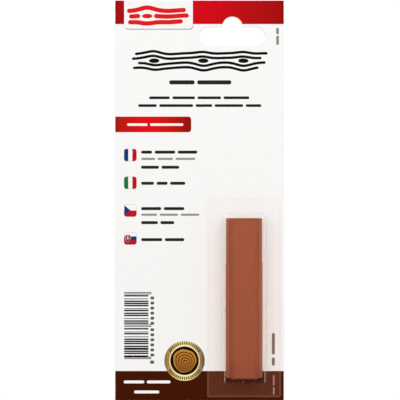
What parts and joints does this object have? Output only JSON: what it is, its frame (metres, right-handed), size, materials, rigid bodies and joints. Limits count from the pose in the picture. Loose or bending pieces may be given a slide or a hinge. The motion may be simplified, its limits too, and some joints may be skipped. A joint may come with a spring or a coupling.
{
  "type": "furniture repair wax stick",
  "caption": "Brown filler wax bar with a flat plastic spatula under a clear peel-off blister, on a printed card with a hang hole.",
  "frame": {"origin": "middle of the card's back face, which the pack lies on", "axes": "+X to the card's right, +Y up the card to the hang hole, +Z out of the printed front"},
  "size_m": [0.08, 0.19, 0.0104],
  "materials": {
    "card": "satin coated white board with offset print",
    "clear_sheet": "clear glossy thermoformed sheet",
    "wax": "smooth cast wax with a soft sheen",
    "spatula_plastic": "satin moulded plastic"
  },
  "bodies": {
    "card": {"backing_card": "card"},
    "blister": {"blister": "clear_sheet"},
    "stick": {"wax_stick": "wax"},
    "spatula": {"spatula": "spatula_plastic"}
  },
  "joints": [
    {"name": "blister_peel", "type": "hinge", "parent": "card", "child": "blister", "pos_m": [0.0036, -0.0458, 0.00085], "axis": [0, -1, 0], "range_deg": [0, 120]},
    {"name": "stick_shift", "type": "slide", "parent": "card", "child": "stick", "axis": [0, 1, 0], "range_m": [-0.0011, 0.0012]},
    {"name": "spatula_shift", "type": "slide", "parent": "card", "child": "spatula", "axis": [0, 1, 0], "range_m": [-0.0018, 0.0021]}
  ]
}
